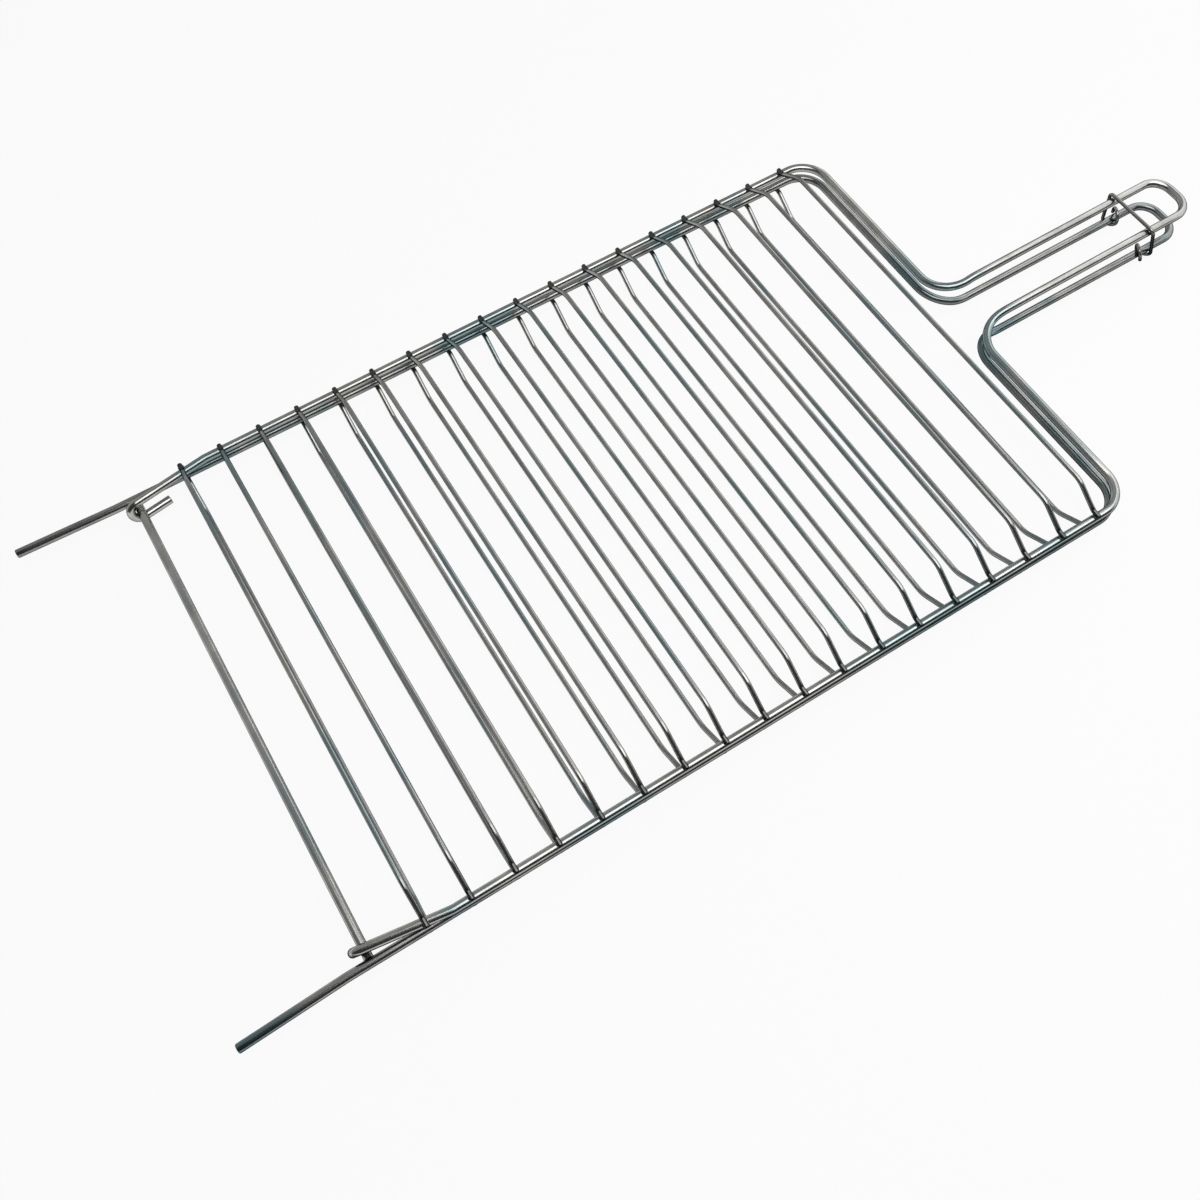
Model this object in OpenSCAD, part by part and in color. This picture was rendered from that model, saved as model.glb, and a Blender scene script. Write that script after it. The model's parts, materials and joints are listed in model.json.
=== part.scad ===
// Double grill grate: two hinged grates of plated steel wire with loop handles and a locking clip.
// The long way runs along X, from the legs at the hinge end to the handle loops. Z points up, and
// the lower grate's cross wires rest on Z = 0.

/* [Grates] */
// Distance between the centres of a grate's two rails
rail_spacing = 300; // [240:5:400]
// Number of cross wires in each grate
cross_wires = 18; // [6:1:20]
// Distance from the hinge axis to the first cross wire
first_wire = 31; // [28:0.5:36]
// Distance from one cross wire to the next
wire_pitch = 24.5; // [18:0.5:32]
// Distance from the last cross wire to the shoulder bar
shoulder_gap = 24.5; // [22:0.5:40]
// Bend radius of the two corners at the shoulder bar
corner_r = 18; // [12:1:22]

/* [Wires] */
// Diameter of the frame wire and the hinge bar
frame_d = 5; // [4:0.2:6]
// Diameter of the cross wires
cross_d = 2.8; // [2:0.1:3.6]
// Depth that a weld sinks one wire into another
weld_sink = 0.4; // [0.2:0.1:0.6]
// Length of cross wire past the centre of a rail
cross_overhang = 1.6; // [0.5:0.1:4]
// Distance that a cross wire steps away from its rails to make room for the food
crank_height = 10; // [6:0.5:16]
// Length along Y that the step takes
crank_run = 16.5; // [14:0.5:24]
// Distance from the inside of a rail to the bend where a cross wire leaves it
crank_gap = 0.5; // [0.3:0.1:1]
// Radius of that bend
crank_r = 5; // [4:0.5:6]
// Radius of the bend where a cross wire turns level again between the rails
span_r = 14; // [8:1:16]

/* [Handle] */
// Distance from the shoulder bar to the end of the handle loop
handle_length = 172; // [120:2:220]
// Distance between the centres of the two wires of a handle
handle_width = 30; // [28:1:44]
// Bend radius of the two corners of the loop
loop_r = 12; // [8:0.5:13]
// Bend radius of the necks between the shoulder bar and the handle
neck_r = 20; // [14:1:30]
// Angle by which a neck leans out of the plane of its grate
neck_lean = 12; // [6:1:20]
// Radius of the small bend that turns the handle level again
level_r = 20; // [12:1:30]

/* [Hinge] */
// Length of the legs past the hinge axis
leg_length = 70; // [40:1:100]
// Distance from the hinge axis to the bend where a leg turns outwards
leg_bend = 12; // [10:0.5:20]
// Angle by which each leg turns outwards
leg_splay = 2; // [1:0.5:8]
// Radius of that bend
leg_r = 20; // [10:1:30]
// Gap, seen from above, between an upper hook and the lower rail beside it
hook_side_clear = 1.6; // [1.4:0.1:2.4]
// Distance from the hinge axis to the bend where an upper rail starts to slant inwards to its hook
inset_end = 45; // [40:0.5:50]
// Radius of that bend
inset_r = 20; // [10:1:30]
// Angle by which a hook tilts, so that its tail stands further in than its top
hook_tilt = 12; // [4:1:16]
// Gap between the hinge bar and the hooks that turn on it, before they are tilted and slanted
hinge_clear = 0.5; // [0.4:0.05:0.7]
// Length of the open tail of each hook
tail_length = 17; // [8:0.5:20]
// Angle at which the upper grate stands above the lower one when the clip is closed
rest_angle = 0.42; // [0.2:0.02:0.8]

/* [Clip] */
// Diameter of the clip's wire
clip_d = 2.2; // [1.6:0.1:2.6]
// Gap between the clip and the handle wires
clip_clear = 0.4; // [0.3:0.05:0.6]
// Distance from the end of the handle loop back to the foot of the clip's far leg
clip_setback = 32; // [30:1:80]
// Angle by which the clip's far leg leans back towards the grates
far_lean = 12; // [0:1:14]
// Angle by which its near leg leans back
near_lean = 24; // [12:1:26]
// Distance along the handle that each half turn of a coil takes
coil_pitch = 4; // [3.6:0.1:5]
// Distance by which both coils hang lower, because they sink as they travel along the leaning clip
coil_drop = 0.2; // [0:0.05:0.3]
// Radius of the two upper corners of the clip
clip_corner_r = 3; // [2.4:0.1:3.6]
// Length of each end of the clip's wire past its coil
clip_end = 2.5; // [1:0.5:4]

/* [Hidden] */
// Bends are this much thicker than the straight wire, as a bent wire swells, and the straight
// stretches reach this far into them
bend_swell = 0.04;
bend_lap = 0.2;
// Straight length between two bends that follow each other
between_bends = 1;
facets = 64;

last_wire = first_wire + (cross_wires - 1) * wire_pitch;
shoulder_x = last_wire + shoulder_gap;
loop_x = shoulder_x + handle_length;
half_rails = rail_spacing / 2;
half_handle = handle_width / 2;

// The hook turns round the hinge bar at this radius, which also lifts the upper rails above the lower
hook_r = frame_d + hinge_clear;

// Rise of a handle out of the plane of its grate, and length along X that the neck takes
handle_step = neck_r * sin(neck_lean) + between_bends * sin(neck_lean) + level_r * (1 - cos(neck_lean));
neck_run = (neck_r + between_bends) * cos(neck_lean) + level_r * sin(neck_lean);
handle_straight = handle_length - neck_run - loop_r;

// The rail's slanting stretch between its own line and the hook, whose top stands inside that line
hook_inset = frame_d + hook_side_clear;
inset_angle = atan(hook_inset / inset_end);
inset_tangent = inset_r * tan(inset_angle / 2);
inset_slant = norm([hook_inset, inset_end]) - inset_tangent;

// The free stretch of a leg past its bend, and its reach from the hinge axis
leg_tangent = leg_r * tan(leg_splay / 2);
leg_free = leg_length - leg_bend - leg_tangent;
leg_reach = leg_bend + (leg_length - leg_bend) * cos(leg_splay) + frame_d / 2 * sin(leg_splay);

// Height of the cross wires' ends over the centre of the rails that they are welded to
weld_height = (frame_d + cross_d) / 2 - weld_sink;
crank_angle = atan(crank_height / crank_run);
crank_tangent = crank_r * tan(crank_angle / 2);
span_tangent = span_r * tan(crank_angle / 2);
crank_start = half_rails - frame_d / 2 - crank_gap;
crank_flat = half_rails + cross_overhang - crank_start - crank_tangent;
crank_slope = norm([crank_height, crank_run]) - crank_tangent - span_tangent;
span_length = 2 * (crank_start - crank_run - span_tangent);

// The clip, from the foot of its far leg beside the lower handle wire
clip_x = loop_x - clip_setback;
clip_offset = frame_d / 2 + clip_clear + clip_d / 2;
upper_handle_z = hook_r + clip_x * tan(rest_angle) + handle_step;
clip_rise = upper_handle_z + handle_step + clip_offset + coil_drop;
clip_bridge = handle_width + 2 * (clip_offset - clip_corner_r);
coil_r = norm([coil_pitch, 2 * clip_offset]) / 2;
coil_turn = atan(coil_pitch / (2 * clip_offset));
// The near coil sinks as it travels, so it is lifted before it passes over the wire
coil_feed = max(between_bends, 2 * coil_pitch * sin(near_lean));

// The hinge axis stands over the base and beside the middle of the whole length
base_drop = weld_height + crank_height + (cross_d + bend_swell) / 2;
middle_x = (loop_x + frame_d / 2 - leg_reach) / 2;

function wire_x(i) = first_wire + (i - 1) * wire_pitch;
function two_digits(i) = str(i < 10 ? "0" : "", i);
function upper_name(i) = str("upper_cross_wire_", two_digits(i));
function lower_name(i) = str("lower_cross_wire_", two_digits(i));

// A wire bent as on a bending bench. Each step is [feed, roll, radius, angle]: the wire is fed
// straight along +X, rolled about its own line, and bent to its left.
module bent_wire(d, steps, i = 0) {
    feed = steps[i][0];
    radius = steps[i][2];
    angle = steps[i][3];
    before = i == 0 ? 0 : bend_lap;
    after = angle == 0 ? 0 : bend_lap;
    translate([-before, 0, 0]) rotate([0, 90, 0]) cylinder(d = d, h = before + feed + after, $fn = facets);
    translate([feed, 0, 0]) rotate([steps[i][1], 0, 0]) {
        if (angle > 0) wire_bend(d, radius, angle);
        if (i + 1 < len(steps))
            translate([radius * sin(angle), radius * (1 - cos(angle)), 0])
                rotate([0, 0, angle]) bent_wire(d, steps, i + 1);
    }
}

module wire_bend(d, radius, angle)
    translate([0, radius, 0]) rotate([0, 0, -90])
        rotate_extrude(angle = angle, $fn = facets)
            translate([radius, 0]) circle(d = d + bend_swell, $fn = facets);

module both_sides() {
    children();
    mirror([0, 1, 0]) children();
}

// Everything is drawn about the hinge axis, with the lower rails level
module on_base() translate([-middle_x, 0, base_drop]) children();

// The upper grate is drawn level, then turned about the hinge axis to its place at rest
module lid_placed() on_base() rotate([0, -rest_angle, 0]) children();

// Half of a frame from the middle of its loop to the shoulder corner, then on by further steps.
// The handle steps up from its grate where side is 1, and down where it is -1.
module half_frame(side, further)
    translate([loop_x, 0, side * handle_step]) rotate([0, 0, 90])
        bent_wire(frame_d, concat([
            [half_handle - loop_r, 0, loop_r, 90],
            [handle_straight, -side * 90, level_r, neck_lean],
            [between_bends, -side * 90, neck_r, 90],
            [half_rails - corner_r - half_handle - neck_r, side * (180 + neck_lean), corner_r, 90]
        ], further));

module upper_frame()
    color("silver") lid_placed() translate([0, 0, hook_r]) both_sides()
        half_frame(1, [
            [shoulder_x - corner_r - inset_end - inset_tangent, 0, inset_r, inset_angle],
            [inset_slant, hook_tilt - 90, hook_r / cos(hook_tilt), 180],
            [tail_length, 0, 0, 0]
        ]);

module lower_frame()
    color("silver") on_base() both_sides()
        half_frame(-1, [
            [shoulder_x - corner_r + leg_bend - leg_tangent, 180, leg_r, leg_splay],
            [leg_free, 0, 0, 0]
        ]);

// The stretch of a rail that a cross wire is welded to
module straight_rail() translate([0, half_rails, 0]) rotate([0, 90, 0])
    cylinder(d = frame_d, h = shoulder_x - corner_r, $fn = facets);

module slanting_rail() translate([0, half_rails - hook_inset, 0])
    rotate([0, 90, inset_angle]) cylinder(d = frame_d, h = inset_slant, $fn = facets);

module rail_at(x, upper) {
    if (upper && x < inset_end) slanting_rail();
    else straight_rail();
}

// A cross wire at x, on top of the rails where side is 1 and under them where it is -1
module cross_wire(x, side)
    difference() {
        translate([x, half_rails + cross_overhang, side * weld_height]) rotate([0, 0, -90])
            bent_wire(cross_d, [
                [crank_flat, side * 90, crank_r, crank_angle],
                [crank_slope, 180, span_r, crank_angle],
                [span_length, 0, span_r, crank_angle],
                [crank_slope, 180, crank_r, crank_angle],
                [crank_flat, 0, 0, 0]
            ]);
        both_sides() rail_at(x, side > 0);
    }

module upper_cross_wire(i)
    color("lightsteelblue") lid_placed() translate([0, 0, hook_r]) cross_wire(wire_x(i), 1);

module lower_cross_wire(i)
    color("lightslategray") on_base() cross_wire(wire_x(i), -1);

// The hinge bar is butt welded between the lower rails
module hinge_bar()
    color("gainsboro") on_base() difference() {
        translate([0, half_rails - frame_d / 2 + weld_sink, 0]) rotate([90, 0, 0])
            cylinder(d = frame_d, h = rail_spacing - frame_d + 2 * weld_sink, $fn = facets);
        both_sides() translate([-frame_d, half_rails, 0]) rotate([0, 90, 0])
            cylinder(d = frame_d, h = 2 * frame_d, $fn = facets);
    }

// The clip winds once round the far lower wire, goes up and over both upper wires, down outside the
// near lower wire and once round that wire. The two coils run opposite ways along the handle.
module locking_clip()
    color("slategray") on_base() translate([clip_x, 0, -handle_step]) rotate([0, -far_lean, 0])
        translate([2 * coil_pitch, half_handle + clip_offset, between_bends - clip_end - coil_drop])
            rotate([180, -90, 0]) bent_wire(clip_d, [
                [clip_end, -coil_turn, coil_r, 180],
                [between_bends, -2 * coil_turn, coil_r, 180],
                [clip_rise / cos(far_lean) - clip_corner_r, -coil_turn, clip_corner_r, 90],
                [clip_bridge, near_lean - far_lean, clip_corner_r, 90],
                [clip_rise / cos(near_lean) - clip_corner_r, -coil_turn, coil_r, 180],
                [coil_feed, -2 * coil_turn, coil_r, 180],
                [clip_end, 0, 0, 0]
            ]);

upper_frame();
lower_frame();
hinge_bar();
locking_clip();
for (i = [1:cross_wires]) {
    upper_cross_wire(i);
    lower_cross_wire(i);
}
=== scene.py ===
import json
from math import atan, ceil, cos, degrees, hypot, radians, sin, tan

import bpy
from mathutils import Matrix, Vector


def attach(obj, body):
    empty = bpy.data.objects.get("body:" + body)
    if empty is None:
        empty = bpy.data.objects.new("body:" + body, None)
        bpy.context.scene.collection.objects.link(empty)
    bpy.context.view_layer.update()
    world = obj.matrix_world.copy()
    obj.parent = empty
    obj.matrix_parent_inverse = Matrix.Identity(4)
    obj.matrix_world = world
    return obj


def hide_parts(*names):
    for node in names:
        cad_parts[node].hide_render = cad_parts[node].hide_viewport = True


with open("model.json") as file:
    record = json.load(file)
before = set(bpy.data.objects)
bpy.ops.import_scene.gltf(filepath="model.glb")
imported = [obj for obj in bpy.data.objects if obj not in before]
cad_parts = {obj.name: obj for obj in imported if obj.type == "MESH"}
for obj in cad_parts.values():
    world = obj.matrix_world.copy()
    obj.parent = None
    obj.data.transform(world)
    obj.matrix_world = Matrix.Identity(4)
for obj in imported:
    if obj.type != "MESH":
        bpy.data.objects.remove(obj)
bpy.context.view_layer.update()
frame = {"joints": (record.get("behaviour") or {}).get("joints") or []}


# LOWER FRAME
# One thick steel wire, bent cold on a jig and zinc plated after welding. It makes the handle loop,
# the necks, the shoulder bar with its two corners, the rails, and the two legs past the hinge.

MM = 0.001

frame_d = 5 * MM
rail_spacing = 300 * MM
first_wire = 31 * MM
wire_pitch = 24.5 * MM
cross_wires = 18
shoulder_x = first_wire + cross_wires * wire_pitch
corner_r = 18 * MM
handle_length = 172 * MM
handle_width = 30 * MM
loop_r = 12 * MM
neck_r = 20 * MM
neck_lean = 12
level_r = 20 * MM
leg_length = 70 * MM
leg_bend = 12 * MM
leg_splay = 2
leg_r = 20 * MM

between_bends = 1 * MM
half_rails = rail_spacing / 2
half_handle = handle_width / 2
loop_x = shoulder_x + handle_length
handle_step = ((neck_r + between_bends) * sin(radians(neck_lean))
               + level_r * (1 - cos(radians(neck_lean))))
neck_run = (neck_r + between_bends) * cos(radians(neck_lean)) + level_r * sin(radians(neck_lean))
handle_straight = handle_length - neck_run - loop_r
leg_tangent = leg_r * tan(radians(leg_splay / 2))
leg_free = leg_length - leg_bend - leg_tangent

# Everything on the lower grate is laid out from the hinge axis
hinge = next(joint for joint in frame["joints"] if joint["name"] == "grate_hinge")
on_base = Matrix.Translation(hinge["pos_m"])

turn_step = 6
longest_run = 8 * MM


def turned(angle, axis):
    return Matrix.Rotation(radians(angle), 4, axis)


def moved(x, y, z):
    return Matrix.Translation((x, y, z))


def bent_wire(start, steps):
    """The middle line of a wire that is fed, rolled and bent to its left, step by step."""
    at = start.copy()
    line = [at.translation.copy()]
    for feed, roll, radius, angle in steps:
        runs = max(1, ceil(feed / longest_run))
        for _ in range(runs):
            at = at @ moved(feed / runs, 0, 0)
            line.append(at.translation.copy())
        at = at @ turned(roll, "X")
        turns = ceil(angle / turn_step)
        for _ in range(turns):
            part = radians(angle / turns)
            at = at @ moved(radius * sin(part), radius * (1 - cos(part)), 0) @ turned(angle / turns, "Z")
            line.append(at.translation.copy())
    return line


def half_frame(side, further):
    """From the middle of the loop to the shoulder corner, then on by further steps."""
    start = moved(loop_x, 0, side * handle_step) @ turned(90, "Z")
    return bent_wire(start, [
        [half_handle - loop_r, 0, loop_r, 90],
        [handle_straight, -side * 90, level_r, neck_lean],
        [between_bends, -side * 90, neck_r, 90],
        [half_rails - corner_r - half_handle - neck_r, side * (180 + neck_lean), corner_r, 90],
    ] + further)


def both_halves(line):
    """The whole wire, from its mirrored half and the half that is given."""
    mirrored = [Vector((p.x, -p.y, p.z)) for p in line]
    return mirrored[:0:-1] + line


lower_line = both_halves(half_frame(-1, [
    [shoulder_x - corner_r + leg_bend - leg_tangent, 180, leg_r, leg_splay],
    [leg_free, 0, 0, 0],
]))


def add_node(tree, kind, inputs=None, **settings):
    """A node with its settings, and its inputs given as values or as the sockets that feed them."""
    made = tree.nodes.new(kind)
    for name, value in settings.items():
        setattr(made, name, value)
    for name, value in (inputs or {}).items():
        if isinstance(value, bpy.types.NodeSocket):
            tree.links.new(value, made.inputs[name])
        else:
            made.inputs[name].default_value = value
    return made


def new_tree(name, kind, inputs, outputs):
    """A node group with named inputs and outputs, each a name, a socket type and a value."""
    tree = bpy.data.node_groups.new(name, kind)
    for title, socket, value in inputs:
        made = tree.interface.new_socket(title, in_out="INPUT", socket_type=socket)
        if value is not None:
            made.default_value = value
    for title, socket in outputs:
        tree.interface.new_socket(title, in_out="OUTPUT", socket_type=socket)
    return tree, tree.nodes.new("NodeGroupInput").outputs, tree.nodes.new("NodeGroupOutput").inputs


def calculate(tree, operation, *values):
    """The result of a Math node."""
    return add_node(tree, "ShaderNodeMath", dict(enumerate(values)), operation=operation).outputs[0]


def random_push(tree, given, scale, detail):
    """A random offset for each point, which follows the tree's Seed and Unevenness."""
    noise = add_node(tree, "ShaderNodeTexNoise", {
        "W": given["Seed"], "Scale": scale, "Detail": detail}, noise_dimensions="4D")
    centred = add_node(tree, "ShaderNodeVectorMath", {
        0: noise.outputs["Color"], 1: (0.5, 0.5, 0.5)}, operation="SUBTRACT")
    push = add_node(tree, "ShaderNodeVectorMath", {
        0: centred.outputs["Vector"], "Scale": given["Unevenness"]}, operation="SCALE")
    return push.outputs["Vector"]


def drawn_wire_tree():
    """A line of points becomes a round wire. The line's attribute thickness gives the share of the
    full diameter at each point. The wire's own attribute wire_coords says where each of its points
    lies round the wire and along it, for the marks that drawing leaves."""
    tree, given, out = new_tree("drawn_wire", "GeometryNodeTree", [
        ("Line", "NodeSocketGeometry", None),
        ("Diameter", "NodeSocketFloat", 0.005),
        ("Sides", "NodeSocketInt", 32),
        ("Unevenness", "NodeSocketFloat", 0.0001),
        ("Seed", "NodeSocketFloat", 0.0),
        ("Finish", "NodeSocketMaterial", None),
    ], [("Wire", "NodeSocketGeometry")])
    curve = add_node(tree, "GeometryNodeMeshToCurve", {"Mesh": given["Line"]})
    swayed = add_node(tree, "GeometryNodeSetPosition", {
        "Geometry": curve.outputs["Curve"], "Offset": random_push(tree, given, scale=14.0, detail=1.0)})
    along = tree.nodes.new("GeometryNodeCaptureAttribute")
    along.capture_items.new("FLOAT", "Length")
    tree.links.new(swayed.outputs["Geometry"], along.inputs["Geometry"])
    tree.links.new(tree.nodes.new("GeometryNodeSplineParameter").outputs["Length"], along.inputs["Length"])
    ring = add_node(tree, "GeometryNodeCurvePrimitiveCircle", {"Resolution": given["Sides"], "Radius": 1.0})
    around = tree.nodes.new("GeometryNodeCaptureAttribute")
    around.capture_items.new("VECTOR", "Round")
    tree.links.new(ring.outputs["Curve"], around.inputs["Geometry"])
    tree.links.new(tree.nodes.new("GeometryNodeInputPosition").outputs["Position"], around.inputs["Round"])
    share = add_node(tree, "GeometryNodeInputNamedAttribute", {"Name": "thickness"}, data_type="FLOAT")
    radius = calculate(tree, "MULTIPLY", given["Diameter"], 0.5)
    scale = calculate(tree, "MULTIPLY", radius, share.outputs["Attribute"])
    swept = add_node(tree, "GeometryNodeCurveToMesh", {
        "Curve": along.outputs["Geometry"], "Profile Curve": around.outputs["Geometry"],
        "Scale": scale, "Fill Caps": True})
    split = add_node(tree, "ShaderNodeSeparateXYZ", {"Vector": around.outputs["Round"]})
    coords = add_node(tree, "ShaderNodeCombineXYZ", {
        "X": split.outputs["X"], "Y": split.outputs["Y"], "Z": along.outputs["Length"]})
    marked = add_node(tree, "GeometryNodeStoreNamedAttribute", {
        "Geometry": swept.outputs["Mesh"], "Name": "wire_coords", "Value": coords.outputs["Vector"]},
        data_type="FLOAT_VECTOR", domain="POINT")
    corners = tree.nodes.new("GeometryNodeInputMeshFaceNeighbors")
    side_face = add_node(tree, "FunctionNodeCompare", {2: corners.outputs["Vertex Count"], 3: 5},
                         data_type="INT", operation="LESS_THAN")
    smooth = add_node(tree, "GeometryNodeSetShadeSmooth", {
        "Geometry": marked.outputs["Geometry"], "Shade Smooth": side_face.outputs["Result"]})
    whole = add_node(tree, "GeometryNodeRealizeInstances", {"Geometry": smooth.outputs["Geometry"]})
    finished = add_node(tree, "GeometryNodeSetMaterial", {
        "Geometry": whole.outputs["Geometry"], "Material": given["Finish"]})
    tree.links.new(finished.outputs["Geometry"], out["Wire"])
    return tree


drawn_wire = drawn_wire_tree()


def run_tree(host, tree, values):
    """Adds a Geometry Nodes modifier with its inputs set by name through the sockets' identifiers."""
    modifier = host.modifiers.new(tree.name, "NODES")
    modifier.node_group = tree
    sockets = {s.name: s.identifier for s in tree.interface.items_tree if s.in_out == "INPUT"}
    for name, value in values.items():
        modifier[sockets[name]] = value


def plain_piece(name, host):
    """The evaluated host as a piece with a plain mesh of its own."""
    bpy.context.view_layer.update()
    evaluated = host.evaluated_get(bpy.context.evaluated_depsgraph_get())
    mesh = bpy.data.meshes.new_from_object(evaluated)
    mesh.name = name
    piece = bpy.data.objects.new(name, mesh)
    bpy.context.scene.collection.objects.link(piece)
    bpy.data.objects.remove(host)
    return piece


# How a cut end is trimmed: distances from the tip, each with the share of the full thickness there
trimmed_end = [(0, 0.86), (0.2 * MM, 0.95), (0.5 * MM, 1.0)]


def line_host(name, line, end=trimmed_end):
    """The wire's line as a mesh of edges, with how thick the wire is at each point."""
    steps = [(point, 1.0) for point in line[1:-1]]
    inward = (line[1] - line[0]).normalized()
    steps = [(line[0] + inward * distance, share) for distance, share in end] + steps
    inward = (line[-2] - line[-1]).normalized()
    steps += [(line[-1] + inward * distance, share) for distance, share in reversed(end)]
    points = [point for point, share in steps]
    thickness = [share for point, share in steps]
    mesh = bpy.data.meshes.new(name)
    mesh.from_pydata(points, [(i, i + 1) for i in range(len(points) - 1)], [])
    mesh.attributes.new("thickness", "FLOAT", "POINT").data.foreach_set("value", thickness)
    host = bpy.data.objects.new(name, mesh)
    bpy.context.scene.collection.objects.link(host)
    return host


def mixed_color(tree, factor, first, second, blend_type="MIX"):
    """The colour that a Mix node makes, with its own numbers for the colour sockets."""
    mix = add_node(tree, "ShaderNodeMix", {"Factor": factor, 6: first, 7: second},
                   data_type="RGBA", blend_type=blend_type)
    return mix.outputs[2]


# Painted shade darkens a cross wire over this stretch beside each weld, counted from the middle of the
# grate
painted_weld_shade_start = half_rails - 5.5 * MM
painted_weld_shade_end = half_rails - 3.5 * MM


def plated_surface_group():
    """Zinc plate over drawn wire: cloudy patches, faint tints, drawing lines and fine pits. Its colour
    also carries painted shade: darker on the sides and underneath, most of all on the near side,
    and darker beside the welds."""
    tree, given, out = new_tree("plated_surface", "ShaderNodeTree", [
        ("Bright", "NodeSocketColor", (0.50, 0.495, 0.475, 1)),
        ("Dull", "NodeSocketColor", (0.36, 0.36, 0.345, 1)),
        ("Tint", "NodeSocketColor", (0.22, 0.33, 0.35, 1)),
        ("Tint Share", "NodeSocketFloat", 0.6),
        ("Near Painted Shade", "NodeSocketFloat", 0.18),
        ("Far Painted Shade", "NodeSocketFloat", 0.7),
        ("Painted Weld Shade", "NodeSocketFloat", 1.0),
        ("Cloud Size", "NodeSocketFloat", 0.02),
        ("Gloss", "NodeSocketFloat", 0.24),
        ("Streaks Round", "NodeSocketFloat", 9.0),
        ("Streaks Along", "NodeSocketFloat", 60.0),
    ], [("Color", "NodeSocketColor"), ("Roughness", "NodeSocketFloat"), ("Height", "NodeSocketFloat")])
    where = tree.nodes.new("ShaderNodeTexCoord")
    place = where.outputs["Object"]
    cloud_scale = calculate(tree, "DIVIDE", 1.0, given["Cloud Size"])
    clouds = add_node(tree, "ShaderNodeTexNoise", {
        "Vector": place, "Scale": cloud_scale, "Detail": 4.0, "Roughness": 0.6})
    cloud_mask = add_node(tree, "ShaderNodeMapRange", {
        "Value": clouds.outputs["Fac"], "From Min": 0.4, "From Max": 0.65}).outputs["Result"]
    plate = mixed_color(tree, cloud_mask, given["Bright"], given["Dull"])
    tints = add_node(tree, "ShaderNodeTexNoise", {"Vector": place, "Scale": 17.0, "Detail": 2.0})
    tint_mask = add_node(tree, "ShaderNodeMapRange", {
        "Value": tints.outputs["Fac"], "From Min": 0.47, "From Max": 0.63})
    tint_amount = calculate(tree, "MULTIPLY", tint_mask.outputs["Result"], given["Tint Share"])
    tinted = mixed_color(tree, tint_amount, plate, given["Tint"])

    coords = add_node(tree, "ShaderNodeAttribute", attribute_name="wire_coords")
    stretch = add_node(tree, "ShaderNodeCombineXYZ", {
        "X": given["Streaks Round"], "Y": given["Streaks Round"], "Z": given["Streaks Along"]})
    stretched = add_node(tree, "ShaderNodeVectorMath", {
        0: coords.outputs["Vector"], 1: stretch.outputs["Vector"]}, operation="MULTIPLY")
    streaks = add_node(tree, "ShaderNodeTexNoise", {
        "Vector": stretched.outputs["Vector"], "Scale": 1.0, "Detail": 3.0, "Roughness": 0.65})
    streak_tone = add_node(tree, "ShaderNodeMapRange", {
        "Value": streaks.outputs["Fac"], "From Min": 0.3, "From Max": 0.7, "To Min": 0.92, "To Max": 1.06})
    streaked = mixed_color(tree, 1.0, tinted, streak_tone.outputs["Result"], "MULTIPLY")

    # Painted shade: sides and undersides (normal Z under 0.6) get a darker colour, most on the near side
    across = add_node(tree, "ShaderNodeSeparateXYZ", {"Vector": place}).outputs["Y"]
    painted_shade_level = add_node(tree, "ShaderNodeMapRange", {
        "Value": across, "From Min": -half_rails, "From Max": half_rails,
        "To Min": given["Near Painted Shade"], "To Max": given["Far Painted Shade"]})
    facing = add_node(tree, "ShaderNodeSeparateXYZ", {"Vector": where.outputs["Normal"]})
    painted_underside_shade = add_node(tree, "ShaderNodeMapRange", {
        "Value": facing.outputs["Z"], "From Min": 0.6, "From Max": 0.1,
        "To Min": 1.0, "To Max": painted_shade_level.outputs["Result"]})
    shaded = mixed_color(tree, 1.0, streaked, painted_underside_shade.outputs["Result"], "MULTIPLY")
    # Painted shade beside the welds: the colour is darkened near the rails over this stretch
    at_weld = add_node(tree, "ShaderNodeMapRange", {
        "Value": calculate(tree, "ABSOLUTE", across), "From Min": painted_weld_shade_start,
        "From Max": painted_weld_shade_end, "To Min": 1.0, "To Max": given["Painted Weld Shade"]})
    with_weld_shade = mixed_color(tree, 1.0, shaded, at_weld.outputs["Result"], "MULTIPLY")

    cloud_roughness = calculate(tree, "MULTIPLY_ADD", cloud_mask, 0.06, given["Gloss"])
    roughness = calculate(tree, "MULTIPLY_ADD", streaks.outputs["Fac"], 0.06, cloud_roughness)
    pits = add_node(tree, "ShaderNodeTexNoise", {"Vector": place, "Scale": 1400.0, "Detail": 2.0})
    height = calculate(tree, "MULTIPLY_ADD", pits.outputs["Fac"], 0.15, streaks.outputs["Fac"])
    tree.links.new(with_weld_shade, out["Color"])
    tree.links.new(roughness, out["Roughness"])
    tree.links.new(height, out["Height"])
    return tree


plated_surface = plated_surface_group()
relief_depth = 0.04 * MM


def plated_wire(name, values, bump):
    """A plated wire's material, with its own values in the shared surface group."""
    material = bpy.data.materials.new(name)
    material.use_nodes = True
    tree = material.node_tree
    shader = tree.nodes["Principled BSDF"]
    surface = add_node(tree, "ShaderNodeGroup", node_tree=plated_surface)
    for title, value in values.items():
        surface.inputs[title].default_value = value
    relief = add_node(tree, "ShaderNodeBump", {
        "Height": surface.outputs["Height"], "Strength": bump, "Distance": relief_depth})
    tree.links.new(surface.outputs["Color"], shader.inputs["Base Color"])
    tree.links.new(surface.outputs["Roughness"], shader.inputs["Roughness"])
    tree.links.new(relief.outputs["Normal"], shader.inputs["Normal"])
    shader.inputs["Metallic"].default_value = 1.0
    shader.inputs["Specular Tint"].default_value = (0.0, 0.0, 0.0, 1)
    return material


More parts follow.
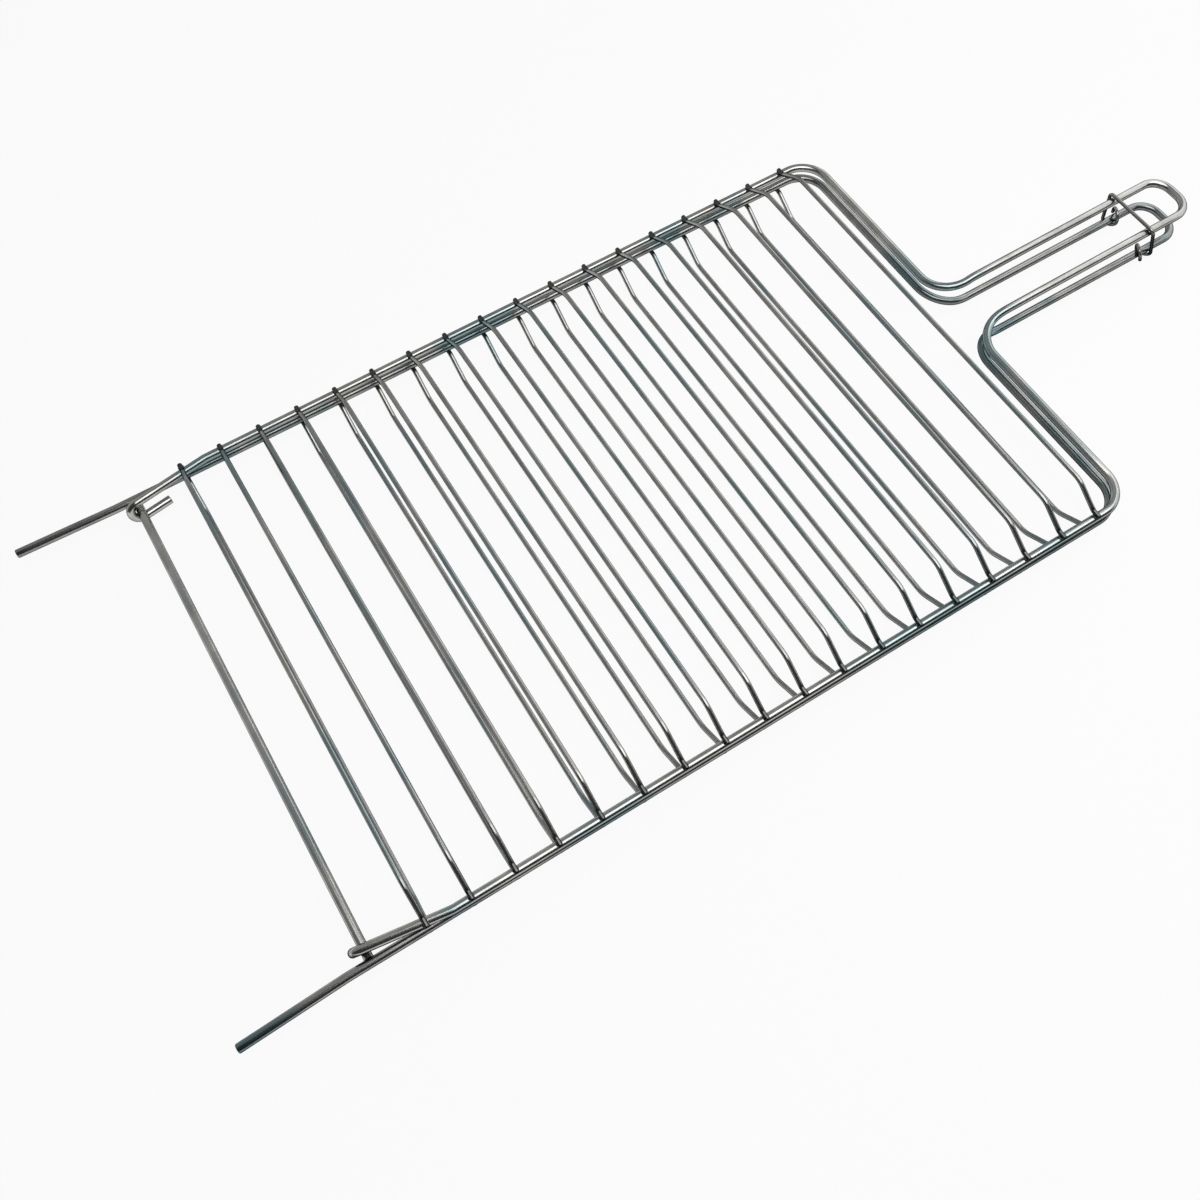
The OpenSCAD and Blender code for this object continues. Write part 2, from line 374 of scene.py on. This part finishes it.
# Painted shade: the same plate as the upper frame's, painted darker and more teal on the lower frame
lower_finish = plated_wire("plated_lower_frame_wire", {
    "Bright": (0.46, 0.455, 0.44, 1),
    "Dull": (0.31, 0.325, 0.32, 1),
    "Tint": (0.13, 0.23, 0.25, 1),
    "Tint Share": 0.75,
    "Gloss": 0.17,
}, bump=0.01)

frame_sides = 36
frame_sway = 0.2 * MM
lower_host = line_host("lower_frame_line", [on_base @ p for p in lower_line])
run_tree(lower_host, drawn_wire, {
    "Diameter": frame_d, "Sides": frame_sides, "Unevenness": frame_sway, "Finish": lower_finish})
lower_frame_wire = plain_piece("lower_frame_wire", lower_host)
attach(lower_frame_wire, "lower_grate")
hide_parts("lower_frame")


# HINGE BAR
# A straight length of the frame wire, butt welded between the lower rails. The upper grate's hooks
# turn on it, and it swells a little into the weld where it meets each rail.

weld_sink = 0.4 * MM
welded_end = [(0, 1.12), (0.9 * MM, 1.0)]

bar_half = half_rails - frame_d / 2 + weld_sink
bar_line = bent_wire(on_base @ moved(0, bar_half, 0) @ turned(-90, "Z"), [[2 * bar_half, 0, 0, 0]])
bar_finish = plated_wire("plated_hinge_bar_wire", {
    "Bright": (0.62, 0.61, 0.58, 1),
    "Dull": (0.46, 0.47, 0.455, 1),
    "Tint": (0.27, 0.36, 0.38, 1),
    "Tint Share": 0.5,
    "Gloss": 0.14,
}, bump=0.01)
bar_host = line_host("hinge_bar_line", bar_line, welded_end)
run_tree(bar_host, drawn_wire, {
    "Diameter": frame_d, "Sides": frame_sides, "Unevenness": 0.1 * MM, "Finish": bar_finish})
hinge_bar_wire = plain_piece("hinge_bar_wire", bar_host)
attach(hinge_bar_wire, "lower_grate")
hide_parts("hinge_bar")


# LOWER CROSS WIRES
# Eighteen thin wires lie under the lower rails. Each is cranked downwards inside the rails to make
# room for the food, and resistance welded at both ends, which leaves a small collar of metal.

cross_d = 2.8 * MM
cross_overhang = 1.6 * MM
crank_height = 10 * MM
crank_run = 16.5 * MM
crank_gap = 0.5 * MM
crank_r = 5 * MM
span_r = 14 * MM
weld_height = (frame_d + cross_d) / 2 - weld_sink
crank_angle = degrees(atan(crank_height / crank_run))
crank_tangent = crank_r * tan(radians(crank_angle / 2))
span_tangent = span_r * tan(radians(crank_angle / 2))
crank_start = half_rails - frame_d / 2 - crank_gap
crank_flat = half_rails + cross_overhang - crank_start - crank_tangent
crank_slope = hypot(crank_height, crank_run) - crank_tangent - span_tangent
span_length = 2 * (crank_start - crank_run - span_tangent)
cross_sides = 24
cross_sway = 0.3 * MM
collar_size = Vector((1.9, 1.5, 0.8)) * MM
collar_lumps = 0.7 * MM


def weld_collar_tree():
    """Two collars of squeezed weld metal, where a cross wire lies on its rails."""
    tree, given, out = new_tree("weld_collars", "GeometryNodeTree", [
        ("Wire", "NodeSocketGeometry", None),
        ("First Weld", "NodeSocketVector", None),
        ("Weld Spacing", "NodeSocketVector", None),
        ("Size", "NodeSocketVector", None),
        ("Unevenness", "NodeSocketFloat", 0.0007),
        ("Seed", "NodeSocketFloat", 0.0),
        ("Finish", "NodeSocketMaterial", None),
    ], [("Wire", "NodeSocketGeometry")])
    welds = add_node(tree, "GeometryNodeMeshLine", {
        "Count": 2, "Start Location": given["First Weld"], "Offset": given["Weld Spacing"]})
    blob = add_node(tree, "GeometryNodeMeshUVSphere", {"Segments": 20, "Rings": 10, "Radius": 1.0})
    dots = add_node(tree, "GeometryNodeInstanceOnPoints", {
        "Points": welds.outputs["Mesh"], "Instance": blob.outputs["Mesh"], "Scale": given["Size"]})
    real = add_node(tree, "GeometryNodeRealizeInstances", {"Geometry": dots.outputs["Instances"]})
    lumpy = add_node(tree, "GeometryNodeSetPosition", {
        "Geometry": real.outputs["Geometry"], "Offset": random_push(tree, given, scale=500.0, detail=2.0)})
    smooth = add_node(tree, "GeometryNodeSetShadeSmooth", {
        "Geometry": lumpy.outputs["Geometry"], "Shade Smooth": True})
    finished = add_node(tree, "GeometryNodeSetMaterial", {
        "Geometry": smooth.outputs["Geometry"], "Material": given["Finish"]})
    joined = add_node(tree, "GeometryNodeJoinGeometry")
    tree.links.new(given["Wire"], joined.inputs["Geometry"])
    tree.links.new(finished.outputs["Geometry"], joined.inputs["Geometry"])
    tree.links.new(joined.outputs["Geometry"], out["Wire"])
    return tree


weld_collars = weld_collar_tree()
# Painted shade on the cross wires: darker sides and undersides, and darker beside the welds
cross_finish = plated_wire("plated_cross_wire", {
    "Near Painted Shade": 0.4,
    "Far Painted Shade": 0.55,
    "Painted Weld Shade": 0.3,
    "Gloss": 0.17,
    "Streaks Round": 6.0,
}, bump=0.02)
# Painted shade: the weld collars' sides and undersides are darkened like the wires'
weld_finish = plated_wire("plated_weld", {
    "Bright": (0.20, 0.20, 0.19, 1),
    "Dull": (0.10, 0.10, 0.09, 1),
    "Far Painted Shade": 0.3,
    "Gloss": 0.34,
}, bump=0.5)


def cross_wire(name, number, side, place, body):
    """Cross wire number, on top of its rails where side is 1 and under them where it is -1."""
    x = first_wire + (number - 1) * wire_pitch
    end = moved(x, half_rails + cross_overhang, side * weld_height)
    line = bent_wire(place @ end @ turned(-90, "Z"), [
        [crank_flat, side * 90, crank_r, crank_angle],
        [crank_slope, 180, span_r, crank_angle],
        [span_length, 0, span_r, crank_angle],
        [crank_slope, 180, crank_r, crank_angle],
        [crank_flat, 0, 0, 0],
    ])
    host = line_host(name, line)
    run_tree(host, drawn_wire, {
        "Diameter": cross_d, "Sides": cross_sides, "Unevenness": cross_sway, "Seed": float(number),
        "Finish": cross_finish})
    collar_z = side * (frame_d / 2 - weld_sink / 2)
    first = place @ Vector((x, half_rails, collar_z))
    second = place @ Vector((x, -half_rails, collar_z))
    run_tree(host, weld_collars, {
        "First Weld": first, "Weld Spacing": second - first, "Size": collar_size,
        "Unevenness": collar_lumps, "Seed": float(number), "Finish": weld_finish})
    piece = plain_piece(name, host)
    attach(piece, body)
    return piece


for number in range(1, cross_wires + 1):
    wire = cross_wire(f"lower_rod_{number:02d}", number, -1, on_base, "lower_grate")
    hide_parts(f"lower_cross_wire_{number:02d}")


# UPPER FRAME
# The same bent wire as the lower frame, but each rail ends in a hook that is bent round the hinge
# bar and left open, and its handle steps upwards. It rests on the bar, a hair above the lower one.

hinge_clear = 0.5 * MM
hook_r = frame_d + hinge_clear
hook_tilt = 12
hook_side_clear = 1.6 * MM
hook_inset = frame_d + hook_side_clear
inset_end = 45 * MM
inset_r = 20 * MM
tail_length = 17 * MM
rest_angle = 0.42
inset_angle = degrees(atan(hook_inset / inset_end))
inset_tangent = inset_r * tan(radians(inset_angle / 2))
inset_slant = hypot(hook_inset, inset_end) - inset_tangent

lid_place = on_base @ turned(-rest_angle, "Y") @ moved(0, 0, hook_r)
upper_line = both_halves(half_frame(1, [
    [shoulder_x - corner_r - inset_end - inset_tangent, 0, inset_r, inset_angle],
    [inset_slant, hook_tilt - 90, hook_r / cos(radians(hook_tilt)), 180],
    [tail_length, 0, 0, 0],
]))
upper_finish = plated_wire("plated_upper_frame_wire", {
    "Bright": (0.61, 0.605, 0.58, 1),
    "Dull": (0.45, 0.45, 0.43, 1),
    "Tint": (0.24, 0.37, 0.39, 1),
    "Gloss": 0.13,
}, bump=0.01)
upper_host = line_host("upper_frame_line", [lid_place @ p for p in upper_line])
run_tree(upper_host, drawn_wire, {
    "Diameter": frame_d, "Sides": frame_sides, "Unevenness": frame_sway, "Finish": upper_finish})
upper_frame_wire = plain_piece("upper_frame_wire", upper_host)
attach(upper_frame_wire, "upper_grate")
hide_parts("upper_frame")


# UPPER CROSS WIRES
# Eighteen more of the thin wires, welded on top of the upper rails and cranked upwards, so that
# the food lies between two raised faces.

for number in range(1, cross_wires + 1):
    wire = cross_wire(f"upper_rod_{number:02d}", number, 1, lid_place, "upper_grate")
    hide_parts(f"upper_cross_wire_{number:02d}")


# LOCKING CLIP
# A thin spring wire that bridges the upper handle and is wound once round each wire of the lower
# one. It slides along the handle to hold the two grates shut.

clip_d = 2.2 * MM
clip_clear = 0.4 * MM
clip_setback = 32 * MM
far_lean = 12
near_lean = 24
coil_pitch = 4 * MM
coil_drop = 0.2 * MM
clip_corner_r = 3 * MM
clip_end = 2.5 * MM
clip_x = loop_x - clip_setback
clip_offset = frame_d / 2 + clip_clear + clip_d / 2
upper_handle_z = hook_r + clip_x * tan(radians(rest_angle)) + handle_step
clip_rise = upper_handle_z + handle_step + clip_offset + coil_drop
clip_bridge = handle_width + 2 * (clip_offset - clip_corner_r)
coil_r = hypot(coil_pitch, 2 * clip_offset) / 2
coil_turn = degrees(atan(coil_pitch / (2 * clip_offset)))
coil_feed = max(between_bends, 2 * coil_pitch * sin(radians(near_lean)))

clip_start = (on_base @ moved(clip_x, 0, -handle_step) @ turned(-far_lean, "Y")
              @ moved(2 * coil_pitch, half_handle + clip_offset, between_bends - clip_end - coil_drop)
              @ turned(-90, "Y") @ turned(180, "X"))
clip_line = bent_wire(clip_start, [
    [clip_end, -coil_turn, coil_r, 180],
    [between_bends, -2 * coil_turn, coil_r, 180],
    [clip_rise / cos(radians(far_lean)) - clip_corner_r, -coil_turn, clip_corner_r, 90],
    [clip_bridge, near_lean - far_lean, clip_corner_r, 90],
    [clip_rise / cos(radians(near_lean)) - clip_corner_r, -coil_turn, coil_r, 180],
    [coil_feed, -2 * coil_turn, coil_r, 180],
    [clip_end, 0, 0, 0],
])
# Painted shade: the clip's sides and underside are darkened like the other wires'
clip_finish = plated_wire("plated_clip_wire", {
    "Bright": (0.44, 0.43, 0.41, 1),
    "Dull": (0.30, 0.29, 0.27, 1),
    "Far Painted Shade": 0.3,
    "Gloss": 0.2,
    "Streaks Round": 5.0,
}, bump=0.04)
clip_host = line_host("clip_line", clip_line)
run_tree(clip_host, drawn_wire, {
    "Diameter": clip_d, "Sides": cross_sides, "Unevenness": 0.0, "Finish": clip_finish})
clip_wire = plain_piece("locking_clip_wire", clip_host)
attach(clip_wire, "clip")
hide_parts("locking_clip")


# TABLE, LIGHT AND CAMERA
# A plain white table in a grey room that is darker on the near side, under one soft light above
# and one beside the handle. The table shows white to the camera and in the wires, and keeps the
# object's shadow.

table_size = 12
table_paint = (0.86, 0.86, 0.86, 1)
plain_white_share = 0.92


def table_material():
    """White paint that takes the shadow, mixed with plain white for camera, gloss and glass."""
    material = bpy.data.materials.new("white_table")
    material.use_nodes = True
    tree = material.node_tree
    tree.nodes.remove(tree.nodes["Principled BSDF"])
    paint = add_node(tree, "ShaderNodeBsdfDiffuse", {"Color": table_paint})
    plain_white = add_node(tree, "ShaderNodeEmission", {"Color": (1, 1, 1, 1), "Strength": 1.0})
    ray = tree.nodes.new("ShaderNodeLightPath").outputs
    seen = calculate(tree, "MAXIMUM", ray["Is Camera Ray"], ray["Is Glossy Ray"])
    seen = calculate(tree, "MAXIMUM", seen, ray["Is Transmission Ray"])
    share = calculate(tree, "MULTIPLY", seen, plain_white_share)
    mixed = add_node(tree, "ShaderNodeMixShader", {
        "Fac": share, 1: paint.outputs["BSDF"], 2: plain_white.outputs["Emission"]})
    tree.links.new(mixed.outputs["Shader"], tree.nodes["Material Output"].inputs["Surface"])
    return material


half_table = table_size / 2
table_corners = [(x * half_table, y * half_table, 0) for x, y in [(-1, -1), (1, -1), (1, 1), (-1, 1)]]
table_mesh = bpy.data.meshes.new("table")
table_mesh.from_pydata(table_corners, [], [(0, 1, 2, 3)])
table_mesh.materials.append(table_material())
table = bpy.data.objects.new("table", table_mesh)
bpy.context.scene.collection.objects.link(table)

near_wall_light = 0.05
far_wall_light = 0.36

world = bpy.data.worlds.new("studio")
bpy.context.scene.world = world
world.use_nodes = True
tree = world.node_tree
room = tree.nodes["Background"]
room.inputs["Color"].default_value = (1, 1, 1, 1)
direction = tree.nodes.new("ShaderNodeTexCoord").outputs["Generated"]
looking = add_node(tree, "ShaderNodeSeparateXYZ", {"Vector": direction})
lit = add_node(tree, "ShaderNodeMapRange", {
    "Value": looking.outputs["Y"], "From Min": 0.05, "From Max": 0.4,
    "To Min": near_wall_light, "To Max": far_wall_light})
tree.links.new(lit.outputs["Result"], room.inputs["Strength"])


def soft_light(name, size, power, place, aim):
    """A wide rectangular lamp that points at aim and can't be seen itself."""
    lamp = bpy.data.lights.new(name, "AREA")
    lamp.shape = "RECTANGLE"
    lamp.size, lamp.size_y = size
    lamp.energy = power
    lamp_object = bpy.data.objects.new(name, lamp)
    bpy.context.scene.collection.objects.link(lamp_object)
    lamp_object.location = place
    lamp_object.rotation_euler = (Vector(aim) - Vector(place)).to_track_quat("-Z", "Y").to_euler()
    lamp_object.visible_camera = False


soft_light("overhead_softbox", size=(1.22, 0.75), power=6.3, place=(0.29, -0.275, 0.95),
           aim=(0.29, -0.275, 0))
soft_light("side_softbox", size=(1.8, 1.3), power=7.5, place=(1.15, 0.1, 0.7), aim=(0, 0.1, 0.7))

# Where the camera stands, and how far it turns in degrees about X, Y and Z
camera_place = (-0.23085, -0.2812, 0.58532)
camera_turn = (25.4947, 0.8747, -31.5105)
camera_data = bpy.data.cameras.new("camera")
camera_data.sensor_width = 36
camera_data.lens = 34.84
camera_data.clip_start = 0.01
camera = bpy.data.objects.new("camera", camera_data)
camera.location = camera_place
camera.rotation_euler = [radians(angle) for angle in camera_turn]
bpy.context.scene.collection.objects.link(camera)
bpy.context.scene.camera = camera
bpy.context.scene.view_settings.view_transform = "Standard"
